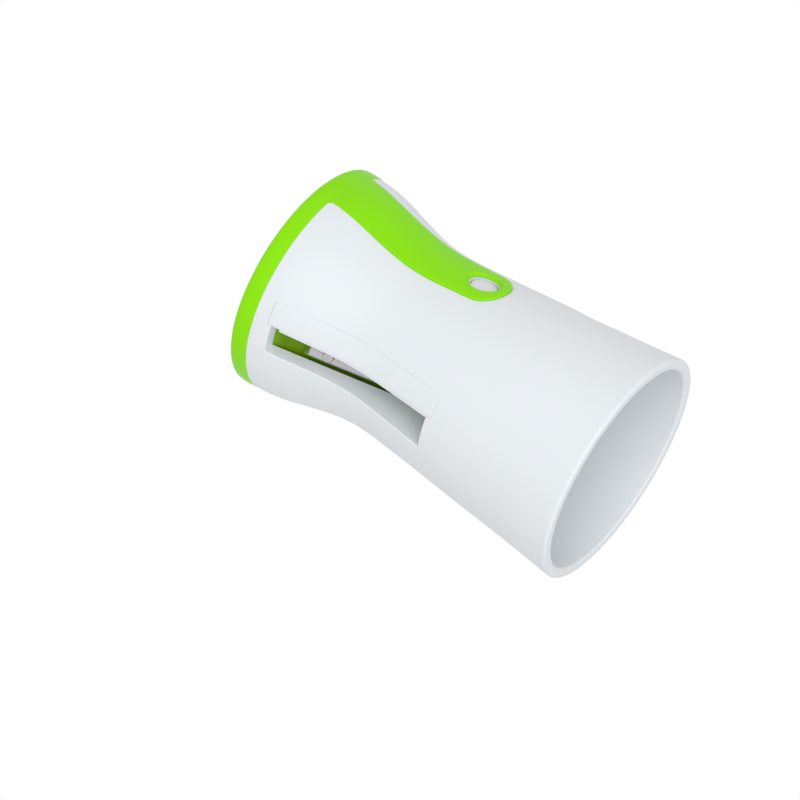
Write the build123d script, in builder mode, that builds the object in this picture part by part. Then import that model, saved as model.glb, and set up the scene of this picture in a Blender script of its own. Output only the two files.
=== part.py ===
from build123d import *
import os
from math import atan, cos, radians, sin

# Hand-held conical spiral slicer. The vegetable turns in the cone at the top, the blade in the
# cone's slot lifts a slice, the comb splits it, and the strips leave through the side window.
# Millimetres. +Z runs up the axis from the open base rim to the green collar, and the tongue
# with its release button faces -Y. Angles round the axis are in degrees from +X.

# Housing: an hourglass shell, given by its outer radius at the base rim, by how much narrower
# it is at five levels above it, and by how far four of these lie below the mouth
base_r = 40.0
grip_in = 4.1
neck_in = 6.95
waist_in = 7.4
shoulder_in = 4.3
mouth_in = 0.65
grip_drop = 78.4
neck_drop = 48.4
waist_drop = 34.4
shoulder_drop = 18.4
housing_h = 118.4
base_lean = -0.14  # change of radius per mm of height at the base rim
mouth_lean = 0.03  # the same at the mouth
wall = 2.5
rim_wall = 4.0  # the wall is thicker at the base rim
rim_round = 0.9

# Collar: a ring on the mouth of the housing and a tongue down its front
collar_h = 6.5
collar_stand = 0.3  # how far the ring stands out from the housing's mouth
collar_round = 1.1
collar_skirt = 2.0
tongue_len = 63.0
tongue_root_w = 23.4
tongue_end_w = 19.4
tongue_end_len = 7.5  # length of the rounded end
tongue_fillet = 2.0
tongue_stand = 0.8  # how far the end stands proud of the housing
tongue_seat_depth = 0.5  # the recess that the thin end lies in
tongue_seat_len = 15.0
tongue_seat_gap = 0.12
seam_gap = 0.16  # visible gap round the tongue

# Release button, and the leaf spring behind it
button_up = 8.2  # from the end of the tongue up to its centre
button_d = 9.0
button_gap = 0.2
button_crown = 0.4
button_below = 0.15  # how far its crown lies below the tongue's inner face
button_travel = 1.4
button_dish_d = 11.6  # mouth of the dish round it in the tongue
button_dish_more = 1.5  # how much further it reaches towards the ring
button_dish_h = 0.9
flange_d = 11.6
flange_t = 1.2
guide_d = 13.0
guide_len = 2.8
pip_d = 3.0
pip_len = 0.6
leaf_w = 7.0
leaf_t = 0.5
leaf_below = 22.4  # reach of the leaf below the button's centre
leaf_above = 10.4
leaf_bend_r = 0.9
touch_gap = 0.05  # between parts that meet without load
catch_reach = 0.9  # how deep the catch enters its pocket in the tongue
catch_slack = 0.7
catch_pocket_w = 8.4
catch_pocket_depth = 1.3
leaf_screw_pitch = 6.5
leaf_screw_edge = 3.4
leaf_hole_d = 2.4
boss_d = 6.4
pilot_len = 4.6

# Funnel: a cone in the mouth of the housing
cone_tip_r = 7.0
cone_mouth_gap = 0.45  # between the cone and the housing's wall at the mouth
cone_wall = 2.0  # measured level
cone_depth = 68.4  # from the mouth of the housing down to the tip
flange_h = 2.0
spigot_h = 3.6
spigot_gap = 0.15

# Window in the side of the housing, the chute behind it and the cover plate above it
cover_at = 185.0  # angle of the cover's lower edge, which is the window's upper edge
cover_w = 8.6
cover_len = 62.0
cover_drop = 4.9  # from the mouth of the housing down to the cover
cover_t = 1.5
cover_corner = 1.4
cover_gap = 0.13  # visible gap round it
cover_ledge = 2.0  # rebate that the cover lies on
lip_t = 0.9  # deflector lip behind the cover's lower edge
lip_stand = 1.1
lip_below = 0.6  # from the outside of the plate in to the lip
lip_depth = 4.3
lip_drop = 4.0
window_low_at = 170.0  # angle of the window's lower edge at its upper end
window_drop = 6.3
window_len = 58.6
window_flare = 3.9  # the lower edge falls away by this much towards the base
window_round = 0.4
chute_wall = 1.6
chute_gap = 0.5  # between the chute and the cone at the window's upper end
chute_low_r = 16.0  # reach of the chute towards the axis at its lower end

# Blade, comb and clamp on the cone's slot
blade_at = 190.0
blade_tilt = 20.0
blade_sink = 2.6  # the cutting edge lies this far below the cone's outside
blade_drop = 17.4  # from the mouth of the housing down to the blade's upper end
blade_len = 49.0
blade_w = 10.0
blade_t = 0.8
blade_grind = 1.6  # width of the ground bevel
slot_open = 3.6
seat_t = 2.2
seat_margin = 1.2
comb_t = 0.5
comb_back = 3.4  # from the cutting edge back to the comb
tooth_len = 2.4
tooth_h = 2.2
tooth_t = 0.5
tooth_pitch = 5.0
clamp_w = 3.8
clamp_t = 1.2
screw_pitch = 36.0
screw_d = 1.9
screw_len = 4.4
screw_head_d = 3.6
screw_head_h = 1.1
screw_gap = 0.1
drive_w = 0.5  # cross recess of the screw heads

FAR = 60.0  # further out than any piece

# Heights that follow from the sizes above
neck_z = housing_h - neck_drop
waist_z = housing_h - waist_drop
shoulder_z = housing_h - shoulder_drop
tongue_end_z = housing_h - tongue_len
seat_top_z = tongue_end_z + tongue_seat_len
button_z = tongue_end_z + button_up
cover_top_z = housing_h - cover_drop
cover_low_z = cover_top_z - cover_len
window_top_z = housing_h - window_drop
window_low_z = window_top_z - window_len
cone_tip_z = housing_h - cone_depth
cone_top_z = housing_h + flange_h
overall_h = housing_h + collar_h

# Radii that follow
mouth_r = base_r - mouth_in
collar_r = mouth_r + collar_stand
cone_mouth_r = mouth_r - wall - cone_mouth_gap
cone_slope = (cone_mouth_r - cone_tip_r) / cone_depth  # change of radius per mm of height

skin_line = [
    (base_r, 0),
    (base_r - grip_in, housing_h - grip_drop),
    (base_r - neck_in, neck_z),
    (base_r - waist_in, waist_z),
    (base_r - shoulder_in, shoulder_z),
    (mouth_r, housing_h),
]
skin_leans = [(base_lean, 1), (mouth_lean, 1)]
with BuildLine() as skin_curve:
    Spline(*skin_line, tangents=skin_leans)


def skin_r(z):
    """Outer radius of the housing at a height, found by halving its outline."""
    edge = skin_curve.edges()[0]
    low, high = 0.0, 1.0
    for _ in range(40):
        middle = (low + high) / 2
        if (edge @ middle).Y < z:
            low = middle
        else:
            high = middle
    return (edge @ low).X


def cone_r(z):
    """Outer radius of the funnel's cone at a height."""
    return cone_mouth_r + cone_slope * (z - housing_h)


def facing(angle):
    """Plane through the axis that faces outwards at an angle: x is up, y runs clockwise."""
    outwards = (cos(radians(angle)), sin(radians(angle)), 0)
    return Plane(origin=(0, 0, 0), x_dir=(0, 0, 1), z_dir=outwards)


def even(inset):
    """One inset for every height of the outline."""
    return [inset] * len(skin_line)


def skin_section(outer_insets, inner_insets):
    """Half section between two copies of the outline, each moved in by its own insets."""
    outer = [(r - inset, z) for (r, z), inset in zip(skin_line, outer_insets)]
    inner = [(r - inset, z) for (r, z), inset in zip(skin_line, inner_insets)]
    with BuildSketch(Plane.XZ) as section:
        with BuildLine():
            outside = Spline(*outer, tangents=skin_leans)
            inside = Spline(*inner, tangents=skin_leans)
            Line(outside @ 0, inside @ 0)
            Line(outside @ 1, inside @ 1)
        make_face()
    return section.sketch


def skin_piece(outer_insets, inner_insets, outline):
    """The part of a layer of the hourglass that lies behind an outline."""
    with BuildPart() as piece:
        revolve(skin_section(outer_insets, inner_insets).faces(), axis=Axis.Z)
        extrude(outline.faces(), amount=FAR, mode=Mode.INTERSECT)
    return piece.part


def rectangle_on(plane, x_low, x_high, y_low, y_high, corner=0.0):
    """Rectangle between limits on a plane, with the two corners at its low y rounded."""
    with BuildSketch(plane) as outline:
        with Locations(((x_low + x_high) / 2, (y_low + y_high) / 2)):
            Rectangle(x_high - x_low, y_high - y_low)
        if corner:
            fillet(outline.vertices().sort_by(Axis.Y)[:2], radius=corner)
    return outline.sketch


def disc_on(plane, x, y, diameter):
    """Disc on a plane."""
    with BuildSketch(plane) as outline:
        with Locations((x, y)):
            Circle(diameter / 2)
    return outline.sketch


def tongue_outline(grow):
    """Front view of the tongue with the fillets at its root, grown all round."""
    side_z = tongue_end_z + tongue_end_len
    half_end = tongue_end_w / 2 + grow
    half_root = tongue_root_w / 2 + grow
    with BuildSketch(Plane.XZ) as outline:
        with BuildLine():
            Polyline(
                (-half_end, side_z), (-half_root, housing_h), (half_root, housing_h), (half_end, side_z)
            )
            EllipticalCenterArc(
                (0, side_z), half_end, tongue_end_len + grow, start_angle=180, arc_size=180
            )
        make_face()
        with Locations((0, housing_h + tongue_fillet)):
            Rectangle(tongue_root_w + 6 * tongue_fillet, 2 * tongue_fillet)
        level = outline.vertices().group_by(Axis.Y)[-2]
        fillet(level.sort_by(Axis.X)[1:3], radius=tongue_fillet - grow)
    return outline.sketch


def front_cut(depth, keep):
    """The tongue's outline cut to a depth in the skin, above or below the top of its seat."""
    with BuildPart() as cut:
        add(skin_piece(even(-1), even(depth), tongue_outline(seam_gap)))
        split(bisect_by=Plane.XY.offset(seat_top_z), keep=keep)
    return cut.part


def window_low(grow):
    """Lower half of the window, whose edge slants towards the base, grown all round."""
    back = -cover_w
    with BuildSketch(facing(window_low_at)) as outline:
        with BuildLine():
            Polyline(
                (window_low_z - grow, back),
                (window_top_z + grow, back),
                (window_top_z + grow, grow),
                (window_low_z - grow, window_flare + grow),
                close=True,
            )
        make_face()
    return outline.sketch


def window_high(grow):
    """Upper half of the window, behind the cover, grown all round."""
    return rectangle_on(
        facing(cover_at),
        window_low_z - grow,
        window_top_z + grow,
        -(cover_w - cover_ledge) - grow,
        cover_w / 3,
    )


def on_window(edge):
    """Whether an edge of the housing belongs to the window's outer outline."""
    middle = edge @ 0.5
    outside = abs(Vector(middle.X, middle.Y, 0).length - skin_r(middle.Z)) < touch_gap
    at_height = window_low_z - touch_gap < middle.Z < window_top_z + touch_gap
    return outside and at_height and middle.X < 0 and middle.Y > -cover_w / 2


# --- Housing ---------------------------------------------------------------------------------
guide_r = skin_r(button_z) - wall - guide_len
leaf_r = guide_r - touch_gap - flange_t - pip_len - touch_gap
leaf_low_z = button_z - leaf_below
leaf_screw_z = [leaf_low_z + leaf_screw_edge, leaf_low_z + leaf_screw_edge + leaf_screw_pitch]

with BuildPart() as chute:
    extrude(window_high(chute_wall).faces(), amount=FAR)
    extrude(window_low(chute_wall).faces(), amount=FAR)
    with BuildSketch(Plane.XZ):
        with BuildLine():
            Polyline(
                (chute_low_r, window_low_z - chute_wall),
                (skin_r(window_low_z - chute_wall) - wall / 2, window_low_z - chute_wall),
                (skin_r(neck_z) - wall / 2, neck_z),
                (skin_r(waist_z) - wall / 2, waist_z),
                (skin_r(shoulder_z) - wall / 2, shoulder_z),
                (skin_r(window_top_z) - wall / 2, window_top_z + chute_wall),
                (cone_r(window_top_z + chute_wall) + chute_gap, window_top_z + chute_wall),
                close=True,
            )
        make_face()
    revolve(axis=Axis.Z, mode=Mode.INTERSECT)

cover_bed = rectangle_on(
    facing(cover_at), cover_low_z, cover_top_z, -cover_w, touch_gap, cover_corner
)

with BuildPart() as housing:
    shell_insets = [rim_wall] + [wall] * (len(skin_line) - 1)
    revolve(skin_section(even(0), shell_insets).faces(), axis=Axis.Z)
    fillet(housing.edges().group_by(Axis.Z)[0], radius=rim_round)
    # chute, and the guide and bosses behind the tongue's end
    add(chute.part)
    guide_end = Plane.XZ.offset(guide_r)
    extrude(disc_on(guide_end, 0, button_z, guide_d).faces(), amount=guide_len + wall / 2)
    for z in leaf_screw_z:
        boss_len = skin_r(z) - wall / 2 - leaf_r
        extrude(disc_on(Plane.XZ.offset(leaf_r), 0, z, boss_d).faces(), amount=boss_len)
    # window and the rebate for the cover
    extrude(window_high(0).faces(), amount=FAR, mode=Mode.SUBTRACT)
    extrude(window_low(0).faces(), amount=FAR, mode=Mode.SUBTRACT)
    add(skin_piece(even(-1), even(cover_t + touch_gap), cover_bed), mode=Mode.SUBTRACT)
    fillet(housing.edges().filter_by(on_window), radius=window_round)
    # notch for the tongue and the recess for its thin end
    add(front_cut(wall + 1, Keep.TOP), mode=Mode.SUBTRACT)
    add(front_cut(tongue_seat_depth, Keep.BOTTOM), mode=Mode.SUBTRACT)
    # button's hole and the screws' pilot holes
    button_hole = disc_on(guide_end, 0, button_z, button_d + 2 * button_gap)
    extrude(button_hole.faces(), amount=FAR, mode=Mode.SUBTRACT)
    for z in leaf_screw_z:
        pilot = disc_on(Plane.XZ.offset(leaf_r), 0, z, screw_d + 2 * screw_gap)
        extrude(pilot.faces(), amount=pilot_len, mode=Mode.SUBTRACT)

# --- Blade cover -----------------------------------------------------------------------------
with BuildPart() as blade_cover:
    plate = rectangle_on(
        facing(cover_at),
        cover_low_z + cover_gap,
        cover_top_z - cover_gap,
        -cover_w + cover_gap,
        0,
        cover_corner - cover_gap,
    )
    add(skin_piece(even(0), even(cover_t), plate))
    # the thicker middle that drops into the window
    middle = rectangle_on(
        facing(cover_at),
        window_low_z + cover_gap,
        window_top_z - cover_gap,
        -(cover_w - cover_ledge) + cover_gap,
        0,
    )
    add(skin_piece(even(cover_t), even(wall), middle))
    # deflector lip
    lip = rectangle_on(
        facing(cover_at), window_low_z + cover_gap, cover_top_z - lip_drop, -lip_t, lip_stand
    )
    add(skin_piece(even(lip_below), even(lip_depth), lip))

# --- Collar ----------------------------------------------------------------------------------
skirt_r = collar_r - collar_skirt
stand_share = [min(1, (housing_h - z) / (housing_h - waist_z)) for _, z in skin_line]
tongue_insets = [-tongue_stand * share for share in stand_share]
tongue_face_r = skin_r(button_z) + tongue_stand
catch_z = button_z + leaf_above
catch_r = skin_r(catch_z) - wall + catch_reach
pocket_r = skin_r(catch_z) - wall + catch_pocket_depth

with BuildPart() as collar:
    # tongue: thick where it fills the notch, thin at its end
    add(skin_piece(tongue_insets, even(wall), tongue_outline(0)))
    thin = rectangle_on(Plane.XZ, -FAR, FAR, 0, seat_top_z + seam_gap)
    seat_layer = tongue_seat_depth - tongue_seat_gap
    add(skin_piece(even(seat_layer), even(wall + 1), thin), mode=Mode.SUBTRACT)
    # ring
    with BuildSketch(Plane.XZ) as ring:
        with BuildLine():
            Polyline(
                (skirt_r, housing_h),
                (mouth_r, housing_h),
                (collar_r, overall_h - collar_h / 2),
                (collar_r, overall_h),
                (cone_r(overall_h) - cone_wall, overall_h),
                (cone_r(cone_top_z) - cone_wall, cone_top_z),
                (skirt_r, cone_top_z),
                close=True,
            )
        make_face()
        fillet(ring.vertices().group_by(Axis.Y)[-1], radius=collar_round)
    revolve(axis=Axis.Z)
    # dished hole for the button
    hole_d = button_d + 2 * button_gap
    extrude(disc_on(Plane.XZ, 0, button_z, hole_d).faces(), amount=FAR, mode=Mode.SUBTRACT)
    with BuildSketch(Plane.XZ.offset(tongue_face_r - button_dish_h)):
        with Locations((0, button_z)):
            Circle(hole_d / 2)
    with BuildSketch(Plane.XZ.offset(tongue_face_r + touch_gap)):
        with Locations((0, button_z + button_dish_more / 2)):
            Ellipse(button_dish_d / 2, (button_dish_d + button_dish_more) / 2)
    loft(mode=Mode.SUBTRACT)
    # pocket for the latch's catch
    pocket_low, pocket_high = catch_z - catch_slack, catch_z + leaf_t + 3 * catch_slack
    pocket = rectangle_on(
        Plane.XZ.offset(leaf_r), -catch_pocket_w / 2, catch_pocket_w / 2, pocket_low, pocket_high
    )
    extrude(pocket.faces(), amount=pocket_r - leaf_r, mode=Mode.SUBTRACT)

# --- Release button --------------------------------------------------------------------------
crown_r = skin_r(button_z) - tongue_seat_depth - button_below + tongue_seat_gap
with BuildPart() as release_button:
    with BuildSketch(Plane.YZ):
        with BuildLine():
            flange_back = -(guide_r - touch_gap - flange_t)
            flange_face = -(guide_r - touch_gap)
            Polyline(
                (-(crown_r - button_crown), button_z + button_d / 2),
                (flange_face, button_z + button_d / 2),
                (flange_face, button_z + flange_d / 2),
                (flange_back, button_z + flange_d / 2),
                (flange_back, button_z + pip_d / 2),
                (flange_back + pip_len, button_z + pip_d / 2),
                (flange_back + pip_len, button_z),
                (-crown_r, button_z),
            )
            # crown, which meets the cap's axis square
            TangentArc(
                (-crown_r, button_z),
                (-(crown_r - button_crown), button_z + button_d / 2),
                tangent=(0, 1),
            )
        make_face()
    revolve(axis=Axis((0, 0, button_z), (0, 1, 0)))

# --- Latch spring and its screws --------------------------------------------------------------
with BuildPart() as latch_spring:
    with BuildSketch(Plane.YZ) as strip:
        with BuildLine():
            Polyline(
                (-leaf_r, leaf_low_z),
                (-leaf_r, catch_z),
                (-catch_r, catch_z),
                (-catch_r, catch_z + leaf_t),
                (-(leaf_r - leaf_t), catch_z + leaf_t),
                (-(leaf_r - leaf_t), leaf_low_z),
                close=True,
            )
        make_face()
        corners = strip.vertices().sort_by_distance((-leaf_r, catch_z))
        fillet(corners[0], radius=leaf_bend_r - leaf_t)
        outer_corner = strip.vertices().sort_by_distance((-(leaf_r - leaf_t), catch_z + leaf_t))
        fillet(outer_corner[0], radius=leaf_bend_r)
    extrude(amount=leaf_w / 2, both=True)
    for z in leaf_screw_z:
        hole = disc_on(Plane.XZ, 0, z, leaf_hole_d)
        extrude(hole.faces(), amount=FAR, mode=Mode.SUBTRACT)


def screw_on(seat):
    """Pan head screw with a cross recess, seated on a plane and driven in against its normal."""
    with BuildPart() as screw:
        with BuildSketch(seat):
            Circle(screw_head_d / 2)
        extrude(amount=screw_head_h)
        rims = screw.edges().filter_by(GeomType.CIRCLE)
        fillet(rims.sort_by_distance(seat.origin + seat.z_dir * FAR)[0], screw_head_h / 2)
        with BuildSketch(seat):
            Circle(screw_d / 2)
        extrude(amount=-screw_len)
        with BuildSketch(seat.offset(screw_head_h / 2)):
            Rectangle(screw_head_d / 2, drive_w)
            Rectangle(drive_w, screw_head_d / 2)
        extrude(amount=screw_head_h, mode=Mode.SUBTRACT)
    return screw.part


with BuildPart() as latch_screws:
    for z in leaf_screw_z:
        add(screw_on(Plane(origin=(0, leaf_t - leaf_r, z), x_dir=(1, 0, 0), z_dir=(0, 1, 0))))

# --- Funnel ----------------------------------------------------------------------------------
# Frame of the blade: x up along the cone's slot, y from the cutting edge back, z outwards
blade_z = housing_h - blade_drop - blade_len / 2 * cos(atan(cone_slope))
out_dir = Vector(cos(radians(blade_at)), sin(radians(blade_at)), 0)
up_dir = (out_dir * cone_slope + Vector(0, 0, 1)).normalized()
normal_dir = (out_dir - Vector(0, 0, cone_slope)).normalized()
edge_point = out_dir * cone_r(blade_z) + Vector(0, 0, blade_z) - normal_dir * blade_sink
slot_plane = Plane(origin=edge_point, x_dir=up_dir, z_dir=normal_dir)
back_dir = slot_plane.y_dir
tilt = radians(blade_tilt)
blade_plane = Plane(
    origin=edge_point, x_dir=up_dir, z_dir=normal_dir * cos(tilt) - back_dir * sin(tilt)
)


def across(length):
    """Plane square to the slot, half a length below the blade's middle: x back, y outwards."""
    low_end = edge_point - up_dir * (length / 2)
    return Plane(origin=low_end, x_dir=blade_plane.y_dir, z_dir=up_dir)


blade_top = blade_t / 2
comb_top = blade_top + comb_t
clamp_top = comb_top + clamp_t
screw_back = blade_w - clamp_w / 2
spigot_r = skin_r(housing_h - spigot_h) - wall - spigot_gap
flange_r = skirt_r - touch_gap
seat_len = blade_len + 2 * seat_margin
screw_places = [(-screw_pitch / 2, screw_back), (screw_pitch / 2, screw_back)]

with BuildPart() as funnel:
    with BuildSketch(Plane.XZ):
        with BuildLine():
            Polyline(
                (0, cone_tip_z),
                (cone_r(cone_tip_z), cone_tip_z),
                (cone_r(housing_h - spigot_h), housing_h - spigot_h),
                (spigot_r, housing_h - spigot_h),
                (spigot_r, housing_h),
                (flange_r, housing_h),
                (flange_r, cone_top_z),
                (0, cone_top_z),
                close=True,
            )
        make_face()
    revolve(axis=Axis.Z)
    # seat for the blade, a slab that stands off the cone
    seat = rectangle_on(
        across(seat_len), slot_open / 2, blade_w + seam_gap, -blade_top - seat_t, -blade_top
    )
    extrude(seat.faces(), amount=seat_len)
    # inside of the cone
    with BuildSketch(Plane.XZ):
        with BuildLine():
            low, high = cone_tip_z - 1, cone_top_z + 1
            Polyline(
                (0, low), (cone_r(low) - cone_wall, low), (cone_r(high) - cone_wall, high), (0, high),
                close=True,
            )
        make_face()
    revolve(axis=Axis.Z, mode=Mode.SUBTRACT)
    # slot before the edge, and everything above the seat
    with BuildSketch(slot_plane):
        with Locations((0, -slot_open / 2)):
            Rectangle(blade_len + 2 * touch_gap, slot_open)
    extrude(amount=3 * cone_wall, both=True, mode=Mode.SUBTRACT)
    room = rectangle_on(across(blade_len + 2 * touch_gap), -touch_gap, FAR, -blade_top, FAR)
    extrude(room.faces(), amount=blade_len + 2 * touch_gap, mode=Mode.SUBTRACT)
    with BuildSketch(blade_plane.offset(-blade_top)):
        with Locations(*screw_places):
            Circle(screw_d / 2 + screw_gap)
    extrude(amount=-seat_t, mode=Mode.SUBTRACT)

# --- Slicing blade, comb, clamp and screws ----------------------------------------------------
with BuildPart() as slicing_blade:
    with BuildSketch(across(blade_len)):
        with BuildLine():
            Polyline(
                (0, -blade_top),
                (blade_grind, blade_top),
                (blade_w, blade_top),
                (blade_w, -blade_top),
                close=True,
            )
        make_face()
    extrude(amount=blade_len)
    with BuildSketch(blade_plane.offset(-blade_top)):
        with Locations(*screw_places):
            Circle(screw_d / 2 + screw_gap)
    extrude(amount=blade_t, mode=Mode.SUBTRACT)

teeth = int((blade_len - 2 * tooth_len) / tooth_pitch) + 1
with BuildPart() as julienne_comb:
    strip_face = rectangle_on(across(blade_len), comb_back, blade_w, blade_top, comb_top)
    extrude(strip_face.faces(), amount=blade_len)
    with BuildSketch(blade_plane.offset(blade_top)):
        with Locations(*screw_places):
            Circle(screw_d / 2 + screw_gap)
    extrude(amount=comb_t, mode=Mode.SUBTRACT)
    for n in range(teeth):
        reach = tooth_pitch * (teeth - 1) - 2 * tooth_pitch * n + tooth_t
        with BuildSketch(across(reach)):
            with BuildLine():
                Polyline(
                    (comb_back, blade_top),
                    (comb_back + tooth_len / 2, comb_top + tooth_h),
                    (comb_back + tooth_len, comb_top),
                    (comb_back + tooth_len, blade_top),
                    close=True,
                )
            make_face()
        extrude(amount=tooth_t)

with BuildPart() as blade_clamp:
    bar = rectangle_on(across(blade_len), blade_w - clamp_w, blade_w, comb_top, clamp_top)
    extrude(bar.faces(), amount=blade_len)
    top_edges = blade_clamp.faces().sort_by(Axis(edge_point, blade_plane.z_dir))[-1].edges()
    chamfer(top_edges, length=clamp_t / 3)
    with BuildSketch(blade_plane.offset(comb_top)):
        with Locations(*screw_places):
            Circle(screw_d / 2 + screw_gap)
    extrude(amount=clamp_t, mode=Mode.SUBTRACT)

with BuildPart() as blade_screws:
    for place in screw_places:
        head_seat = blade_plane.offset(clamp_top)
        add(screw_on(Plane(head_seat.from_local_coords(place), head_seat.x_dir, head_seat.z_dir)))

# --- Files -----------------------------------------------------------------------------------
pieces = {
    "housing": housing,
    "blade_cover": blade_cover,
    "collar": collar,
    "release_button": release_button,
    "latch_spring": latch_spring,
    "latch_screws": latch_screws,
    "funnel": funnel,
    "slicing_blade": slicing_blade,
    "julienne_comb": julienne_comb,
    "blade_clamp": blade_clamp,
    "blade_screws": blade_screws,
}
os.makedirs("parts", exist_ok=True)
for name, piece in pieces.items():
    piece.part.label = name
    export_step(piece.part, f"parts/{name}.step")
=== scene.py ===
"""Hand-held conical spiral slicer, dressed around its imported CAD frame.

The slicer stands on its open base at the origin, +Z runs up its axis to the green collar, and the
tongue with the release button faces -Y. Objects are in metres. The forms below are worked out in
millimetres and made metres in new_piece.
"""

import math
from bisect import bisect

import bmesh
import bpy
import numpy as np
from bpy.props import FloatProperty, FloatVectorProperty, PointerProperty
from bpy.types import Operator, Panel, PropertyGroup
from mathutils import Matrix, Vector
from mathutils.geometry import delaunay_2d_cdt
from mathutils.kdtree import KDTree


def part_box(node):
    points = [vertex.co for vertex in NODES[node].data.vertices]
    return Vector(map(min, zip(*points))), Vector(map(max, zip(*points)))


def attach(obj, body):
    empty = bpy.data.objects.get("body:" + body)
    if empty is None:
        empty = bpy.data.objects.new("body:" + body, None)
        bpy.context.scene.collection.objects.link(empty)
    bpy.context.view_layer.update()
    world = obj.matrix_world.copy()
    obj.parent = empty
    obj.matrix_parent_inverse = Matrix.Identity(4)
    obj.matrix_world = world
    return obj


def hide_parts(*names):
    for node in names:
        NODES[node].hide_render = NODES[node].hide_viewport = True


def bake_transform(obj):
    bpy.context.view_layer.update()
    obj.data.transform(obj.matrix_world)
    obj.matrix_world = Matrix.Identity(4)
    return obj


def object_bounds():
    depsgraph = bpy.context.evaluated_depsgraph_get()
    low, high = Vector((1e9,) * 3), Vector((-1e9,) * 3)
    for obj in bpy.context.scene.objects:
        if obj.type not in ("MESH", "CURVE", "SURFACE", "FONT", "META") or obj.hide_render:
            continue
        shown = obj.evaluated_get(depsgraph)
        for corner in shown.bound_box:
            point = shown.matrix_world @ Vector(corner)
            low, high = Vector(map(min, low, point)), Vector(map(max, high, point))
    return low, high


bl_info = {
    "name": "Conical spiral slicer",
    "version": (1, 0, 0),
    "blender": (4, 5, 0),
    "location": "3D View > Sidebar > Slicer",
    "description": "Pieces, finishes and studio of a hand-held conical spiral slicer",
    "category": "Object",
}

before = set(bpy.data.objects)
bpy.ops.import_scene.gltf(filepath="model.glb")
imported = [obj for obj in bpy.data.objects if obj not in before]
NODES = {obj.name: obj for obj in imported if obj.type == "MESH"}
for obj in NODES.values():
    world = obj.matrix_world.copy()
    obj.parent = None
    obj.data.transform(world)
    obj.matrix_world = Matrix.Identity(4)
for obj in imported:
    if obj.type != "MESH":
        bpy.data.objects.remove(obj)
CAD_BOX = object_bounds()
MM = 0.001

# Sizes of the CAD frame that the pieces repeat, in millimetres
SKIN = [(0, 40.0), (40, 35.9), (70, 33.05), (84, 32.6), (100, 35.7), (118.4, 39.35)]
SKIN_LEANS = (-0.14, 0.03)
WALL = 2.5
MOUTH_Z = 118.4
WAIST_Z = 84.0
CONE_MOUTH_R = 36.4
CONE_SLOPE = 29.4 / 68.4
TONGUE_STAND = 0.8
TONGUE_END_Z = 55.4
BUTTON_Z = 63.6
LEAF_SCREWS_Z = (44.6, 51.1)


# --- Settings --------------------------------------------------------------------------------
def colour_setting(name, description, default):
    """A linear colour."""
    return FloatVectorProperty(
        name=name, description=description, subtype="COLOR", default=default
    )


def length_setting(name, description, default):
    """A length in metres."""
    return FloatProperty(name=name, description=description, unit="LENGTH", default=default)


def power_setting(name, description, default):
    """The power of a lamp, in watts."""
    return FloatProperty(name=name, description=description, unit="POWER", default=default)


class SlicerColours(PropertyGroup):
    """Colours of the slicer's finishes, as linear values."""

    housing_white: colour_setting(
        "Housing white", "Plastic of the housing and the blade cover", (0.775, 0.81, 0.84)
    )
    button_white: colour_setting(
        "Button white", "Plastic of the release button", (0.78, 0.79, 0.82)
    )
    lime_green: colour_setting(
        "Lime green", "Plastic of the collar and the inside of the funnel", (0.262, 0.77, 0.004)
    )
    # Painted shade: a darker green painted on the outside of the funnel's cone, standing in for the
    # shade the housing casts there.
    painted_shade_green: colour_setting(
        "Olive green",
        "Juice-stained outside of the funnel, in the shade of the housing",
        (0.125, 0.235, 0.004),
    )
    blade_steel: colour_setting(
        "Blade steel", "Ground stainless steel of blade, comb and clamp", (0.5, 0.5, 0.51)
    )
    spring_steel: colour_setting(
        "Spring steel", "Rolled steel of the latch spring", (0.55, 0.56, 0.58)
    )
    screw_steel: colour_setting(
        "Screw steel", "Passivated steel of the small screws", (0.58, 0.58, 0.60)
    )


class SlicerEdges(PropertyGroup):
    """How softly the moulded and stamped pieces are rounded."""

    tongue_round: length_setting(
        "Tongue round", "Radius along the edge of the tongue and the foot of the ring", 0.00042
    )
    ring_round: length_setting(
        "Ring round", "Radius of the ring's two upper edges", 0.0011
    )
    dish_depth: length_setting(
        "Dish depth", "Depth of the dish round the release button", 0.00088
    )
    button_round: length_setting(
        "Button round", "Radius along the edge of the release button's cap", 0.0006
    )
    cover_round: length_setting(
        "Cover round", "Radius along the edge of the blade cover", 0.00012
    )
    steel_round: length_setting(
        "Steel round", "Radius along the edges of stamped steel", 0.00008
    )


class SlicerStage(PropertyGroup):
    """Camera, lamps and floor."""

    lens: FloatProperty(
        name="Lens",
        description="Focal length of the camera",
        unit="CAMERA",
        default=139.94,
    )
    camera_reach: length_setting(
        "Camera reach", "Distance of the camera from the axis", 0.93946
    )
    camera_drop: length_setting(
        "Camera drop", "How far the camera lies below the base plane", 0.26712
    )
    camera_heading: FloatProperty(
        name="Camera heading",
        description="Angle round the axis at which the camera stands",
        subtype="ANGLE",
        default=math.radians(215),
    )
    world_light: FloatProperty(
        name="World light",
        description="Strength of the even light from all round",
        default=0.71,
    )
    key_power: power_setting(
        "Key power", "Power of the large soft lamp", 4.8
    )
    top_power: power_setting(
        "Top power", "Power of the soft lamp over the slicer", 0.3
    )
    low_power: power_setting(
        "Low power", "Power of the soft lamp under the slicer", 0.6
    )
    floor_size: length_setting(
        "Floor size", "Side of the square floor", 4.0
    )


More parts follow.
